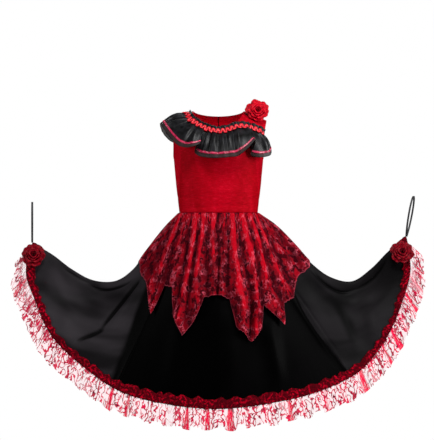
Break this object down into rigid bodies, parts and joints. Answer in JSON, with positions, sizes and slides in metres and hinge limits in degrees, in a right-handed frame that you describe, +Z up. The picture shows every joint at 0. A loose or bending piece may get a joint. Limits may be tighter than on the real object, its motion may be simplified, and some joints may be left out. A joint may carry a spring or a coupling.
{
  "type": "child's flamenco dress",
  "caption": "Child's flamenco dress: red bodice with a gathered shoulder flounce, pointed lace overskirt and a wide black skirt held out by hand loops.",
  "frame": {"origin": "middle of the shoulder line, where the wearer holds the dress up", "axes": "+Z up, the front faces -Y, +X to the viewer's right"},
  "size_m": [1.0806, 0.5217, 0.8328],
  "materials": {
    "bodice_velvet": "red stretch velvet with fine glitter dashes",
    "flounce_satin": "black satin",
    "braid": "bright red ruched gimp braid",
    "ribbon": "narrow pinkish red satin ribbon",
    "rose_satin": "dark red satin petals",
    "overskirt_lace": "red flower lace with glitter",
    "skirt_satin": "black satin",
    "ruche_velvet": "dark red ruched velvet",
    "hem_lace": "sheer red lace",
    "loop_elastic": "black flat elastic"
  },
  "bodies": {
    "root": {"bodice_front": "bodice_velvet", "bodice_back_left": "bodice_velvet", "bodice_back_right": "bodice_velvet", "neck_heading": "flounce_satin", "neck_braid": "braid", "shoulder_flounce": "flounce_satin", "flounce_ribbon_left": "ribbon", "flounce_ribbon_middle": "ribbon", "flounce_ribbon_right": "ribbon", "shoulder_rose": "rose_satin", "overskirt_front": "overskirt_lace", "overskirt_back": "overskirt_lace", "skirt_front": "skirt_satin", "skirt_side_left": "skirt_satin", "skirt_side_right": "skirt_satin", "skirt_back_left": "skirt_satin", "skirt_back_right": "skirt_satin", "hem_ruche_front": "ruche_velvet", "hem_ruche_back": "ruche_velvet", "hem_lace_front_left": "hem_lace", "hem_lace_front_right": "hem_lace", "hem_lace_back_left": "hem_lace", "hem_lace_back_right": "hem_lace", "rose_left": "rose_satin", "rose_right": "rose_satin", "loop_left": "loop_elastic", "loop_right": "loop_elastic"}
  },
  "joints": []
}
